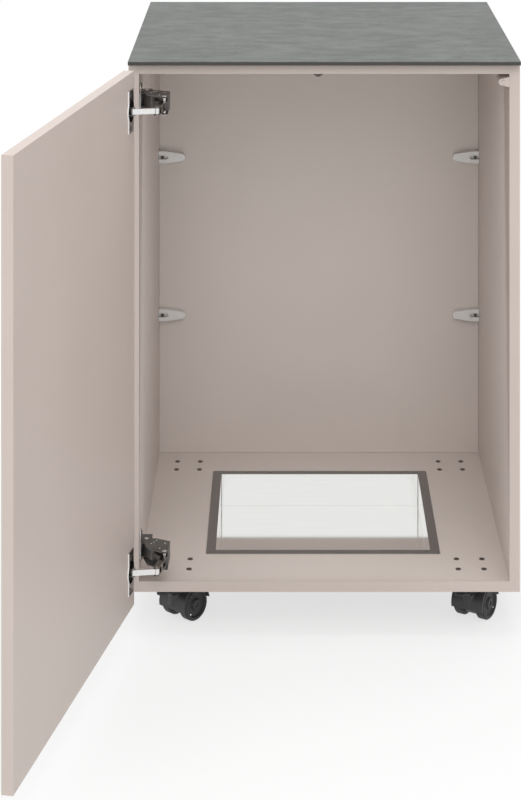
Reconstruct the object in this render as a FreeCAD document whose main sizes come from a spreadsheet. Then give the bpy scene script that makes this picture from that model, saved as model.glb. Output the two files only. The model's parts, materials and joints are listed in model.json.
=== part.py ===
"""Gas bottle cabinet: a 600 mm outdoor-kitchen base unit on castors, drawn with its door open.

The cabinet is laid out with X to the right, Y to the back (0 at the carcass front) and Z up from the floor.
Every piece is then moved so that the origin lies under the middle of the whole object as it stands.
"""
import FreeCAD, Part
import math
import os
import types

import Sketcher

doc = FreeCAD.newDocument("gas_bottle_cabinet")
sheet = doc.addObject("Spreadsheet::Sheet", "Sizes")

# Driving dimensions, in millimetres and degrees
DRIVING = {
    # Carcass and slab
    "carcass_width": 600,
    "carcass_depth": 582,
    "carcass_height": 810,
    "board_thickness": 16,
    "back_thickness": 12,
    "slab_thickness": 6,
    "slab_overhang": 18,
    "slab_screw_head_radius": 8,
    "slab_screw_head_height": 3.5,
    "slab_screw_radius": 2.5,
    "slab_screw_bite": 4,
    "slab_screw_setback": 45,
    "slab_screw_offset": 9,
    "hole_clearance": 0.1,
    # Door
    "door_thickness": 16,
    "door_side_reveal": 1.5,
    "door_end_gap": 2,
    "door_back_gap": 2,
    "door_opening": 101,
    "pole_outset": 13.4,
    "pole_setforward": 30.8,
    # Hinges: heights, cup and mounting plate
    "hinge_end_distance": 43,
    "cup_edge_distance": 22,
    "cup_radius": 17.5,
    "cup_depth": 11.5,
    "cup_wall": 1.2,
    "cup_flange_width": 26,
    "cup_flange_height": 64,
    "cup_flange_thickness": 1.5,
    "cup_pin_rise": 4,
    "cup_screw_pitch": 48,
    "cup_screw_offset": 7,
    "cup_ear_width": 7,
    "plate_thickness": 1.5,
    "plate_height": 52,
    "plate_wing_width": 20,
    "plate_front": 12,
    "plate_length": 46,
    "plate_screw_pitch": 38,
    "small_screw_radius": 1.9,
    "small_screw_head_radius": 3.6,
    "small_screw_head_height": 1.6,
    "small_screw_length": 11,
    # Hinge linkage in plan, with the door as it stands
    "pivot_inset": 26.5,
    "pivot_setback": 22.42,
    "arm_sheet": 1.2,
    "arm_nose_radius": 8,
    "arm_tail": 26,
    "rocker_length": 56.99,
    "rocker_angle": -58.19,
    "rocker_core_height": 18,
    "rocker_hub_radius": 7,
    "rocker_eye_radius": 5.5,
    "rocker_shoulder": 32,
    "rocker_sheet": 1.6,
    "rocker_chin_reach": 31,
    "rocker_chin_width": 16,
    "rocker_corner_reach": 26,
    "rocker_corner_width": 27,
    "rocker_heel_reach": 5,
    "rocker_heel_width": 14.5,
    "rocker_web_start": 20,
    "rocker_web_end": 50,
    "rocker_wing_end": 43,
    "crank_length": 42.58,
    "crank_angle": -103.46,
    "bar_length": 35.43,
    "bar_angle": 9.1,
    "bar_height": 8.4,
    "eye_radius": 4.5,
    "cup_eye_radius": 3.4,
    "cheek_thickness": 2,
    "layer_gap": 0.4,
    "link_pin_radius": 2,
    "open_pin_radius": 1.5,
    "open_pin_clearance": 0.9,
    "pin_head_radius": 3.8,
    "pin_head_height": 1.2,
    "pin_clearance": 0.05,
    # Spare holes for hanging the door on the other side
    "spare_hole_radius": 5,
    "spare_hole_depth": 12,
    "spare_hole_pitch": 34,
    "spare_hole_setback": 38,
    # Rear corner connectors
    "connector_low": 334,
    "connector_high": 614,
    "connector_length": 47,
    "connector_root": 21.5,
    "connector_tip": 13,
    "connector_depth": 14,
    "connector_shoulder": 13,
    "connector_slot_length": 13,
    "connector_slot_width": 6.5,
    "connector_slot_depth": 6,
    "connector_screw_radius": 3,
    "connector_screw_height": 3,
    # Push latch
    "catch_width": 16.5,
    "catch_root": 15.5,
    "catch_tip": 10,
    "catch_length": 42,
    "catch_setback": 0.5,
    "catch_drop": 5,
    "plunger_radius": 3,
    "plunger_length": 26,
    "plunger_travel": 3,
    "plunger_door_gap": 0.4,
    "plunger_inset": 9,
    # Bottle tray
    "tray_width": 370,
    "tray_depth": 368,
    "tray_setback": 107.5,
    "tray_flange": 14,
    "tray_well_depth": 55,
    "tray_sheet": 1,
    "tray_corner_radius": 2,
    "tray_clearance": 1,
    # Castors
    "castor_height": 70,
    "castor_side_inset": 71,
    "castor_front_inset": 67,
    "castor_rear_inset": 78,
    "castor_heading": 48,
    "castor_front_right_heading": 58,
    "castor_trail": 17,
    "castor_plate_side": 58,
    "castor_plate_thickness": 2.5,
    "castor_bolt_pitch": 40,
    "castor_bolt_radius": 3,
    "castor_bolt_head_radius": 4.2,
    "castor_bolt_head_height": 1.2,
    "castor_nut_radius": 5.8,
    "castor_nut_height": 5,
    "race_radius": 13,
    "race_height": 6.2,
    "kingpin_radius": 5,
    "kingpin_reach": 16,
    "wheel_radius": 25,
    "wheel_width": 16,
    "wheel_track": 38,
    "wheel_edge": 2.5,
    "wheel_dish_radius": 18,
    "wheel_hub_radius": 8,
    "wheel_dish_depth": 3,
    "wheel_side_gap": 0.6,
    "hood_gap": 1.5,
    "hood_wall": 2.5,
    "hood_skirt": 5,
    "hood_front_height": 19,
    "neck_radius": 13.5,
    "web_radius": 20,
    "axle_radius": 3,
    "axle_recess": 1,
    "swivel_gap": 0.3,
    "brake_pivot_reach": 19,
    "brake_pivot_height": 49,
    "brake_barrel_radius": 4,
    "brake_pin_radius": 1.5,
    "brake_width": 17,
    "brake_ear_thickness": 3,
    "brake_pedal_length": 22,
    "brake_pedal_thickness": 3,
}

for row, (alias, value) in enumerate(DRIVING.items(), start=1):
    sheet.set(f"A{row}", alias)
    sheet.set(f"B{row}", str(value))
    sheet.setAlias(f"B{row}", alias)
doc.recompute()


class Size:
    """A length or an angle: its value now, and the sheet expression that drives it."""

    def __init__(self, value, text):
        self.value = value
        self.text = text

    def __add__(self, other):
        other = as_size(other)
        return Size(self.value + other.value, f"({self.text} + {other.text})")

    def __sub__(self, other):
        other = as_size(other)
        return Size(self.value - other.value, f"({self.text} - {other.text})")

    def __mul__(self, other):
        other = as_size(other)
        return Size(self.value * other.value, f"({self.text} * {other.text})")

    def __truediv__(self, other):
        other = as_size(other)
        return Size(self.value / other.value, f"({self.text} / {other.text})")

    def __neg__(self):
        return Size(-self.value, f"(0 - {self.text})")

    __radd__ = __add__
    __rmul__ = __mul__

    def __rsub__(self, other):
        return as_size(other) - self


def as_size(number):
    return number if isinstance(number, Size) else Size(float(number), str(number))


def sine(angle):
    return Size(math.sin(math.radians(angle.value)), f"sin({angle.text})")


def cosine(angle):
    return Size(math.cos(math.radians(angle.value)), f"cos({angle.text})")


def root_of(area):
    return Size(math.sqrt(area.value), f"sqrt({area.text})")


s = types.SimpleNamespace(**{a: Size(float(sheet.get(a)), f"Sizes.{a}") for a in DRIVING})

# Planes of the carcass that several pieces share
right = s.carcass_width / 2
left = -right
inner_right = right - s.board_thickness
inner_left = -inner_right
under = s.castor_height
floor_top = under + s.board_thickness
slab_under = under + s.carcass_height
ceiling = slab_under - s.board_thickness
slab_top = slab_under + s.slab_thickness
inner_back = s.carcass_depth - s.back_thickness

# The door when shut
door_left = left + s.door_side_reveal
door_right = right - s.door_side_reveal
door_inside = -s.door_back_gap
door_outside = door_inside - s.door_thickness
door_bottom = under + s.door_end_gap
door_top = slab_under - s.door_end_gap
cup_x = door_left + s.cup_edge_distance
hinge_heights = (floor_top + s.hinge_end_distance, ceiling - s.hinge_end_distance)

# The fixed pole about which the hinges swing the door
pole_x = left - s.pole_outset
pole_y = -s.pole_setforward


def swung(x, y):
    """Where a point of the shut door lies once the door stands open."""
    across = x - pole_x
    along = y - pole_y
    turned_x = pole_x + across * cosine(s.door_opening) + along * sine(s.door_opening)
    turned_y = pole_y - across * sine(s.door_opening) + along * cosine(s.door_opening)
    return turned_x, turned_y


# The origin lies under the middle of the box round the open door and the carcass
whole_left = swung(door_right, door_outside)[0]
whole_front = swung(door_right, door_inside)[1]
shift_x = -(whole_left + right) / 2
shift_y = -(whole_front + s.carcass_depth) / 2

# Pivots of the linkage with the door open
rocker_x = left + s.pivot_inset
rocker_y = s.pivot_setback
crank_x = rocker_x + s.rocker_length * cosine(s.rocker_angle)
crank_y = rocker_y + s.rocker_length * sine(s.rocker_angle)
bar_x, bar_y = swung(cup_x, door_inside + s.cup_pin_rise)


def bind(obj, prop, size):
    obj.setExpression(prop, as_size(size).text)


def place(obj, x, y, z):
    for axis, size in zip("xyz", (x, y, z)):
        bind(obj, f"Placement.Base.{axis}", size)


def box(x, y, z):
    """A block between pairs of planes."""
    block = doc.addObject("Part::Box", "block")
    for prop, (low, high) in zip(("Length", "Width", "Height"), (x, y, z)):
        bind(block, prop, as_size(high) - low)
    place(block, x[0], y[0], z[0])
    return block


ROD_TURNS = {
    "x": FreeCAD.Rotation(FreeCAD.Vector(0, 1, 0), 90),
    "y": FreeCAD.Rotation(FreeCAD.Vector(1, 0, 0), -90),
    "z": FreeCAD.Rotation(),
}


def rod(x, y, z, radius, length, axis="z"):
    """A round bar that starts at a point and runs along an axis."""
    bar = doc.addObject("Part::Cylinder", "rod")
    bind(bar, "Radius", radius)
    bind(bar, "Height", length)
    bar.Placement = FreeCAD.Placement(FreeCAD.Vector(), ROD_TURNS[axis])
    place(bar, x, y, z)
    return bar


def nut(x, y, z, radius, height):
    """A six-sided prism."""
    prism = doc.addObject("Part::Prism", "nut")
    prism.Polygon = 6
    bind(prism, "Circumradius", radius)
    bind(prism, "Height", height)
    place(prism, x, y, z)
    return prism


def fuse(*solids):
    union = doc.addObject("Part::MultiFuse", "union")
    union.Shapes = list(solids)
    union.Refine = True
    return union


def cut(base, *tools):
    trimmed = doc.addObject("Part::Cut", "trimmed")
    trimmed.Base = base
    trimmed.Tool = tools[0] if len(tools) == 1 else fuse(*tools)
    return trimmed


def common(*solids):
    overlap = doc.addObject("Part::MultiCommon", "overlap")
    overlap.Shapes = list(solids)
    return overlap


def round_uprights(block, radius):
    """Round the four upright edges of a block."""
    doc.recompute()
    rounded = doc.addObject("Part::Fillet", "rounded")
    rounded.Base = block
    upright = []
    for number, edge in enumerate(block.Shape.Edges, start=1):
        rise = edge.Vertexes[1].Point - edge.Vertexes[0].Point
        if abs(rise.x) + abs(rise.y) < abs(rise.z):
            upright.append((number, radius.value, radius.value))
    rounded.Edges = upright
    return rounded


def profile(body, role, points):
    """A closed outline of straight edges on one of the body's own planes, each corner set by the sheet."""
    sketch = body.newObject("Sketcher::SketchObject", "outline")
    plane = next(feature for feature in body.Origin.OriginFeatures if feature.Role == role)
    sketch.AttachmentSupport = [(plane, "")]
    sketch.MapMode = "FlatFace"
    corners = [(as_size(a), as_size(b)) for a, b in points]
    count = len(corners)
    for i, (a, b) in enumerate(corners):
        c, d = corners[(i + 1) % count]
        start = FreeCAD.Vector(a.value, b.value, 0)
        end = FreeCAD.Vector(c.value, d.value, 0)
        sketch.addGeometry(Part.LineSegment(start, end))
    for i in range(count):
        sketch.addConstraint(Sketcher.Constraint("Coincident", i, 2, (i + 1) % count, 1))
    for i, corner in enumerate(corners):
        for kind, size in zip(("DistanceX", "DistanceY"), corner):
            index = sketch.addConstraint(Sketcher.Constraint(kind, -1, 1, i, 1, size.value))
            sketch.setExpression(f"Constraints[{index}]", size.text)
    return sketch


def padded(role, points, length, reverse=False):
    """A body padded from an outline."""
    body = doc.addObject("PartDesign::Body", "body")
    sketch = profile(body, role, points)
    pad = body.newObject("PartDesign::Pad", "pad")
    pad.Profile = sketch
    bind(pad, "Length", length)
    pad.Reversed = reverse
    sketch.Visibility = False
    return body


def turned(points):
    """A body turned about Y from an outline of (place along Y, radius) corners."""
    body = doc.addObject("PartDesign::Body", "body")
    sketch = profile(body, "YZ_Plane", points)
    turn = body.newObject("PartDesign::Revolution", "turn")
    turn.Profile = sketch
    turn.ReferenceAxis = (sketch, ["H_Axis"])
    turn.Angle = 360
    return body


pieces = []


def piece(name, solids, at=(0, 0), turn=None):
    """Name one sub-part and stand its solids in the object's frame."""
    part = doc.addObject("Part::Compound", name)
    part.Label = name
    part.Links = list(solids)
    if turn is not None:
        part.Placement = FreeCAD.Placement(
            FreeCAD.Vector(), FreeCAD.Rotation(FreeCAD.Vector(0, 0, 1), turn.value))
        bind(part, "Placement.Rotation.Angle", turn)
    place(part, shift_x + at[0], shift_y + at[1], 0)
    pieces.append(part)
    return part


# Boards of the carcass
plate_mid = s.plate_front + s.plate_length / 2
plate_screws = [(plate_mid, z + side * s.plate_screw_pitch / 2) for z in hinge_heights for side in (-1, 1)]
screw_hole = s.small_screw_radius + s.hole_clearance
screw_pilot_depth = s.small_screw_length - s.plate_thickness + s.hole_clearance


def left_side_panel():
    board = box((left, inner_left), (0, s.carcass_depth), (under, slab_under))
    pilots = [rod(inner_left - screw_pilot_depth, y, z, screw_hole, screw_pilot_depth, "x")
              for y, z in plate_screws]
    return cut(board, *pilots)


def right_side_panel():
    board = box((inner_right, right), (0, s.carcass_depth), (under, slab_under))
    spare = []
    for height in hinge_heights:
        for side in (-1, 1):
            z = height + side * s.spare_hole_pitch / 2
            spare.append(rod(inner_right, s.spare_hole_setback, z,
                             s.spare_hole_radius, s.spare_hole_depth, "x"))
    return cut(board, *spare)


castor_x = right - s.castor_side_inset
castor_rear_y = s.carcass_depth - s.castor_rear_inset
castor_spots = {
    "front_left": (-castor_x, s.castor_front_inset),
    "front_right": (castor_x, s.castor_front_inset),
    "rear_left": (-castor_x, castor_rear_y),
    "rear_right": (castor_x, castor_rear_y),
}
bolt_hole = s.castor_bolt_radius + s.hole_clearance


def bolt_spots(x, y):
    half = s.castor_bolt_pitch / 2
    return [(x + a * half, y + b * half) for a in (-1, 1) for b in (-1, 1)]


all_bolts = [spot for x, y in castor_spots.values() for spot in bolt_spots(x, y)]

tray_right = s.tray_width / 2
tray_back = s.tray_setback + s.tray_depth
well_right = tray_right - s.tray_flange
well_front = s.tray_setback + s.tray_flange
well_back = tray_back - s.tray_flange


def bottom_panel():
    board = box((inner_left, inner_right), (0, s.carcass_depth), (under, floor_top))
    side = well_right + s.tray_clearance
    opening = box((-side, side), (well_front - s.tray_clearance, well_back + s.tray_clearance),
                  (under, floor_top))
    rounded = round_uprights(opening, s.tray_corner_radius + s.tray_clearance)
    holes = [rod(x, y, under, bolt_hole, s.board_thickness) for x, y in all_bolts]
    return cut(board, rounded, *holes)


slab_screw_spots = [(-s.slab_screw_offset, y)
                    for y in (s.slab_screw_setback, inner_back - s.slab_screw_setback)]
slab_screw_hole = s.slab_screw_radius + s.hole_clearance


def top_panel():
    board = box((inner_left, inner_right), (0, s.carcass_depth), (ceiling, slab_under))
    holes = [rod(x, y, ceiling, slab_screw_hole, s.board_thickness) for x, y in slab_screw_spots]
    return cut(board, *holes)


def worktop_slab():
    board = box((left, right), (-s.slab_overhang, s.carcass_depth), (slab_under, slab_top))
    holes = [rod(x, y, slab_under, slab_screw_hole, s.slab_screw_bite + s.hole_clearance)
             for x, y in slab_screw_spots]
    return cut(board, *holes)


def worktop_screw(x, y):
    head_under = ceiling - s.slab_screw_head_height
    head = rod(x, y, head_under, s.slab_screw_head_radius, s.slab_screw_head_height)
    shank = rod(x, y, head_under, s.slab_screw_radius,
                s.slab_screw_head_height + s.board_thickness + s.slab_screw_bite)
    return fuse(head, shank)


piece("left_side_panel", [left_side_panel()])
piece("right_side_panel", [right_side_panel()])
piece("bottom_panel", [bottom_panel()])
piece("top_panel", [top_panel()])
piece("back_panel", [box((inner_left, inner_right), (inner_back, s.carcass_depth), (floor_top, ceiling))])
piece("worktop_slab", [worktop_slab()])
piece("worktop_screws", [worktop_screw(x, y) for x, y in slab_screw_spots])


# Rear corner connectors: die-cast wedges that draw the sides and the back together
def connector(hand, z):
    """One wedge against a side wall; hand is -1 at the left and 1 at the right."""
    root = s.connector_root / 2
    tip = s.connector_tip / 2
    wall = inner_right * hand
    shoulder = wall - hand * s.connector_shoulder
    nose = wall - hand * (s.connector_length - tip)
    outline = [(wall, z - root), (shoulder, z - root), (nose, z - tip),
               (nose, z + tip), (shoulder, z + root), (wall, z + root)]
    wedge = padded("XZ_Plane", outline, s.connector_depth)
    place(wedge, 0, inner_back, 0)
    face = inner_back - s.connector_depth
    round_nose = rod(nose, face, z, tip, s.connector_depth, "y")
    slot_end = wall - hand * s.connector_slot_length
    low, high = (wall, slot_end) if hand < 0 else (slot_end, wall)
    half = s.connector_slot_width / 2
    slot = box((low, high), (face, face + s.connector_slot_depth), (z - half, z + half))
    slot_nose = rod(slot_end, face, z, half, s.connector_slot_depth, "y")
    return cut(fuse(wedge, round_nose), slot, slot_nose)


def connector_screw(hand, z):
    x = hand * (inner_right - s.connector_slot_length / 2)
    bed = inner_back - s.connector_depth + s.connector_slot_depth
    return rod(x, bed - s.connector_screw_height, z, s.connector_screw_radius, s.connector_screw_height, "y")


connector_spots = [(hand, z) for hand in (-1, 1) for z in (s.connector_low, s.connector_high)]
piece("corner_connectors", [connector(hand, z) for hand, z in connector_spots])
piece("connector_screws", [connector_screw(hand, z) for hand, z in connector_spots])

# Hinge plates on the left side, and the channel-shaped arms on them that carry the rockers
ear_low = s.rocker_core_height / 2 + s.layer_gap
ear_high = ear_low + s.cheek_thickness
cover_low = ear_high + s.layer_gap
cover_high = cover_low + s.rocker_sheet
pin_hole = s.link_pin_radius + s.pin_clearance
plate_face = inner_left + s.plate_thickness
arm_rear = rocker_y + s.arm_tail
arm_right = rocker_x + s.arm_nose_radius


def both_layers(low, high, z):
    """The two height ranges, below and above a hinge's middle, of a pair of ears or cheeks."""
    return [(z - high, z - low), (z + low, z + high)]


def hinge_plate(z):
    """A cross-shaped plate: a foot for the arm, and a round-ended wing for the screws."""
    foot = box((inner_left, plate_face), (s.plate_front, s.plate_front + s.plate_length),
               (z - ear_high, z + ear_high))
    half = s.plate_wing_width / 2
    straight = s.plate_height / 2 - half
    wing = box((inner_left, plate_face), (plate_mid - half, plate_mid + half), (z - straight, z + straight))
    ends = [rod(inner_left, plate_mid, z + side * straight, half, s.plate_thickness, "x") for side in (-1, 1)]
    holes = [rod(inner_left, y, height, screw_hole, s.plate_thickness, "x") for y, height in plate_screws]
    return cut(fuse(foot, wing, *ends), *holes)


def hinge_arm(z):
    """A channel with its back on the plate and a cheek above and below the rocker."""
    solids = [box((plate_face, plate_face + s.arm_sheet), (rocker_y - s.arm_nose_radius, arm_rear),
                  (z - ear_high, z + ear_high))]
    for low, high in both_layers(ear_low, ear_high, z):
        solids.append(box((plate_face, arm_right), (rocker_y, arm_rear), (low, high)))
        solids.append(box((plate_face, rocker_x), (rocker_y - s.arm_nose_radius, rocker_y), (low, high)))
        solids.append(rod(rocker_x, rocker_y, low, s.arm_nose_radius, high - low))
    return cut(fuse(*solids), rod(rocker_x, rocker_y, z - ear_high, pin_hole, ear_high * 2))


def headed_pin(x, seat, z):
    """A pin along Z through a hinge's middle, with a flat head on the seat at either end."""
    end = seat + s.pin_head_height
    heads = [rod(x, 0, low, s.pin_head_radius, high - low) for low, high in both_layers(seat, end, z)]
    return fuse(rod(x, 0, z - end, s.link_pin_radius, end * 2), *heads)


def side_screw(y, z):
    """A screw through a hinge plate into the left side."""
    face = inner_left + s.plate_thickness
    head = rod(face, y, z, s.small_screw_head_radius, s.small_screw_head_height, "x")
    shank = rod(face - s.small_screw_length, y, z, s.small_screw_radius,
                s.small_screw_length + s.small_screw_head_height, "x")
    return fuse(head, shank)


piece("hinge_plates", [hinge_plate(z) for z in hinge_heights])
piece("hinge_plate_screws", [side_screw(y, z) for y, z in plate_screws])
piece("hinge_arms", [hinge_arm(z) for z in hinge_heights])
piece("hinge_plate_pins", [headed_pin(0, cover_high + s.layer_gap, z) for z in hinge_heights],
      (rocker_x, rocker_y))

# Push latch at the top of the right side
catch_top = ceiling - s.catch_drop
catch_mid = catch_top - s.catch_root / 2
plunger_x = inner_right - s.plunger_inset
plunger_tip = door_inside + s.plunger_door_gap


def catch_housing():
    root = s.catch_root / 2
    tip = s.catch_tip / 2
    nose = inner_right - s.catch_width + tip
    outline = [(inner_right, catch_mid - root), (nose, catch_mid - tip), (nose, catch_mid + tip),
               (inner_right, catch_mid + root)]
    block = padded("XZ_Plane", outline, s.catch_length, True)
    place(block, 0, s.catch_setback, 0)
    round_nose = rod(nose, s.catch_setback, catch_mid, tip, s.catch_length, "y")
    depth = plunger_tip + s.plunger_length + s.plunger_travel + s.layer_gap - s.catch_setback
    bore = rod(plunger_x, s.catch_setback, catch_mid, s.plunger_radius + s.pin_clearance, depth, "y")
    return cut(fuse(block, round_nose), bore)


piece("catch_housing", [catch_housing()])
piece("catch_plunger", [rod(plunger_x, plunger_tip, catch_mid, s.plunger_radius, s.plunger_length, "y")])

# Bottle tray: a pressed well with a flange that lies on the floor board
well_floor = floor_top + s.tray_sheet - s.tray_well_depth


def bottle_tray():
    flange_top = floor_top + s.tray_sheet
    sheet = box((-tray_right, tray_right), (s.tray_setback, tray_back), (floor_top, flange_top))
    flange = round_uprights(sheet, s.tray_corner_radius)
    block = box((-well_right, well_right), (well_front, well_back), (well_floor - s.tray_sheet, flange_top))
    well = round_uprights(block, s.tray_corner_radius)
    inside = well_right - s.tray_sheet
    room = box((-inside, inside), (well_front + s.tray_sheet, well_back - s.tray_sheet),
               (well_floor, flange_top))
    hollow = round_uprights(room, s.tray_corner_radius - s.tray_sheet)
    return cut(fuse(flange, well), hollow)


piece("bottle_tray", [bottle_tray()])

# Door, drawn shut and then swung open about the pole
door_shift = swung(0, 0)
door_pose = {"at": door_shift, "turn": -s.door_opening}
cup_screw_x = cup_x + s.cup_screw_offset
cup_screws = [z + side * s.cup_screw_pitch / 2 for z in hinge_heights for side in (-1, 1)]
cup_pin_y = door_inside + s.cup_pin_rise
bar_layer = s.bar_height / 2
cheek_low = bar_layer + s.layer_gap
cheek_high = cheek_low + s.cheek_thickness


def door_panel():
    board = box((door_left, door_right), (door_outside, door_inside), (door_bottom, door_top))
    cups = [rod(cup_x, door_inside - s.cup_depth, z, s.cup_radius, s.cup_depth, "y") for z in hinge_heights]
    depth = s.small_screw_length - s.cup_flange_thickness + s.hole_clearance
    pilots = [rod(cup_screw_x, door_inside - depth, z, screw_hole, depth, "y") for z in cup_screws]
    return cut(board, *cups, *pilots)


def hinge_cup(z):
    """A cup let into the door, its flange on the door's face and two ears for the bar's pin."""
    cup_radius = s.cup_radius - s.hole_clearance
    bed = door_inside - s.cup_depth
    face = door_inside + s.cup_flange_thickness
    half = s.cup_flange_width / 2
    rise = s.cup_flange_height / 2
    shell = rod(cup_x, bed, z, cup_radius, face - bed, "y")
    flange = box((cup_x - half, cup_x + half), (door_inside, face), (z - rise, z + rise))
    mouth_radius = cup_radius - s.cup_wall
    mouth = rod(cup_x, bed + s.cup_wall, z, mouth_radius, s.cup_depth + s.cup_flange_thickness, "y")
    holes = [rod(cup_screw_x, door_inside, height, screw_hole, s.cup_flange_thickness, "y")
             for height in cup_screws]
    dish = cut(fuse(shell, flange), mouth, *holes)
    ears = []
    reach = s.cup_ear_width / 2
    for low, high in both_layers(cheek_low, cheek_high, z):
        ears.append(box((cup_x - reach, cup_x + reach), (bed, cup_pin_y), (low, high)))
        ears.append(rod(cup_x, cup_pin_y, low, reach, high - low))
    bore = rod(cup_x, cup_pin_y, z - cheek_high, s.open_pin_radius + s.pin_clearance, cheek_high * 2)
    return cut(fuse(dish, *ears), bore)


def door_screw(z):
    face = door_inside + s.cup_flange_thickness
    head = rod(cup_screw_x, face, z, s.small_screw_head_radius, s.small_screw_head_height, "y")
    shank = rod(cup_screw_x, face - s.small_screw_length, z, s.small_screw_radius,
                s.small_screw_length + s.small_screw_head_height, "y")
    return fuse(head, shank)


piece("door_panel", [door_panel()], **door_pose)
piece("hinge_cups", [hinge_cup(z) for z in hinge_heights], **door_pose)
piece("hinge_cup_screws", [door_screw(z) for z in cup_screws], **door_pose)
piece("hinge_cup_pins", [rod(cup_x, cup_pin_y, z - cheek_high, s.open_pin_radius, cheek_high * 2)
                         for z in hinge_heights], **door_pose)


# Links of the hinges, each drawn along X from its own pivot
def link(start, end, radius, low, high):
    """A flat link with round ends between two pivots."""
    strap = box((start, end), (-radius, radius), (low, high))
    eyes = [rod(x, 0, low, radius, high - low) for x in (start, end)]
    return [strap, *eyes]


rocker_outline = [
    (0, -s.rocker_hub_radius),
    (s.rocker_chin_reach, -s.rocker_chin_width),
    (s.rocker_length, -s.rocker_eye_radius),
    (s.rocker_length, s.rocker_eye_radius),
    (s.rocker_corner_reach, s.rocker_corner_width),
    (s.rocker_heel_reach, s.rocker_heel_width),
    (0, s.rocker_hub_radius),
]
arm_corner = root_of(s.arm_nose_radius * s.arm_nose_radius + s.arm_tail * s.arm_tail)


def rocker_slice(low, high):
    """The rocker's outline between two heights, without its round ends."""
    layer = padded("XY_Plane", rocker_outline, high - low)
    place(layer, 0, 0, low)
    return layer


def hinge_rocker(z):
    """A casing of two covers and a web round a core; the crank straddles the core's tongue."""
    half = s.rocker_core_height / 2
    tall = cover_high * 2
    shell = fuse(rocker_slice(z - cover_high, z + cover_high),
                 rod(0, 0, z - cover_high, s.rocker_hub_radius, tall),
                 rod(s.rocker_length, 0, z - cover_high, s.rocker_eye_radius, tall))
    far = s.rocker_length + s.rocker_eye_radius * 2
    inside = rocker_slice(z - cover_low, z + cover_low)
    place(inside, 0, -s.rocker_sheet, z - cover_low)
    sweep = rod(0, 0, z - cover_low, arm_corner + s.rocker_sheet, cover_low * 2)
    mouth = box((s.rocker_web_end, far), (-s.rocker_corner_width, s.rocker_corner_width),
                (z - cover_low, z + cover_low))
    casing = cut(shell, inside, sweep, mouth)
    shoulder = s.rocker_shoulder - s.rocker_hub_radius
    block = link(0, shoulder, s.rocker_hub_radius, z - half, z + half)
    tongue = link(shoulder, s.rocker_length, s.eye_radius, z - bar_layer, z + bar_layer)
    bay = box((s.rocker_web_start, s.rocker_wing_end), (0, s.rocker_corner_width), (z - half, z + half))
    wing = common(rocker_slice(z - half, z + half), bay)
    bores = [rod(x, 0, z - cover_high, pin_hole, tall) for x in (0, s.rocker_length)]
    return cut(fuse(casing, *block, wing, *tongue), *bores)


def hinge_crank(z):
    solids = []
    for low, high in both_layers(cheek_low, cheek_high, z):
        solids += link(0, s.crank_length, s.eye_radius, low, high)
    bridge_start = s.eye_radius * 5
    bridge_end = s.crank_length - s.eye_radius * 2.5
    solids.append(box((bridge_start, bridge_end), (-s.eye_radius, s.eye_radius),
                      (z - cheek_low, z + cheek_low)))
    bores = [rod(0, 0, z - cheek_high, pin_hole, cheek_high * 2),
             rod(s.crank_length, 0, z - cheek_high, s.open_pin_radius + s.open_pin_clearance, cheek_high * 2)]
    return cut(fuse(*solids), *bores)


def hinge_bar(z):
    low = z - bar_layer
    strap = box((0, s.bar_length), (-s.cup_eye_radius, s.cup_eye_radius), (low, z + bar_layer))
    eyes = [rod(0, 0, low, s.cup_eye_radius, s.bar_height),
            rod(s.bar_length, 0, low, s.eye_radius, s.bar_height)]
    pin = rod(s.bar_length, 0, z - cheek_high, s.open_pin_radius, cheek_high * 2)
    bore = rod(0, 0, low, s.open_pin_radius + s.pin_clearance, s.bar_height)
    return cut(fuse(strap, *eyes, pin), bore)


piece("hinge_rockers", [hinge_rocker(z) for z in hinge_heights], (rocker_x, rocker_y), s.rocker_angle)
piece("hinge_rocker_pins", [headed_pin(s.rocker_length, cover_high, z) for z in hinge_heights],
      (rocker_x, rocker_y), s.rocker_angle)
piece("hinge_cranks", [hinge_crank(z) for z in hinge_heights], (crank_x, crank_y), s.crank_angle)
piece("hinge_bars", [hinge_bar(z) for z in hinge_heights], (bar_x, bar_y), s.bar_angle)

# Castor fixings
castor_plate_under = under - s.castor_plate_thickness
bolt_reach = s.board_thickness + s.castor_plate_thickness + s.castor_nut_height


def castor_bolt(x, y):
    head = rod(x, y, floor_top, s.castor_bolt_head_radius, s.castor_bolt_head_height)
    shank = rod(x, y, floor_top - bolt_reach, s.castor_bolt_radius, bolt_reach + s.castor_bolt_head_height)
    return fuse(head, shank)


def castor_nut(x, y):
    low = castor_plate_under - s.castor_nut_height
    blank = nut(x, y, low, s.castor_nut_radius, s.castor_nut_height)
    return cut(blank, rod(x, y, low, bolt_hole, s.castor_nut_height))


piece("castor_bolts", [castor_bolt(x, y) for x, y in all_bolts])
piece("castor_nuts", [castor_nut(x, y) for x, y in all_bolts])

# Castors, drawn heading along X with the swivel axis on Z
race_under = castor_plate_under - s.race_height
neck_top = race_under - s.swivel_gap
axle_height = s.wheel_radius
axle_half = s.wheel_track / 2 + s.wheel_width / 2 - s.axle_recess
hood_half = s.wheel_track / 2 + s.wheel_width / 2
web_half = s.wheel_track / 2 - s.wheel_width / 2 - s.wheel_side_gap
brake_ear_half = s.brake_width / 2 + s.brake_ear_thickness


def castor_plate():
    half = s.castor_plate_side / 2
    plate = box((-half, half), (-half, half), (castor_plate_under, under))
    race = rod(0, 0, race_under, s.race_radius, s.race_height)
    kingpin = rod(0, 0, race_under - s.kingpin_reach, s.kingpin_radius, s.race_height + s.kingpin_reach)
    holes = [rod(x, y, castor_plate_under, bolt_hole, s.castor_plate_thickness) for x, y in bolt_spots(0, 0)]
    return cut(fuse(plate, race, kingpin), *holes)


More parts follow.
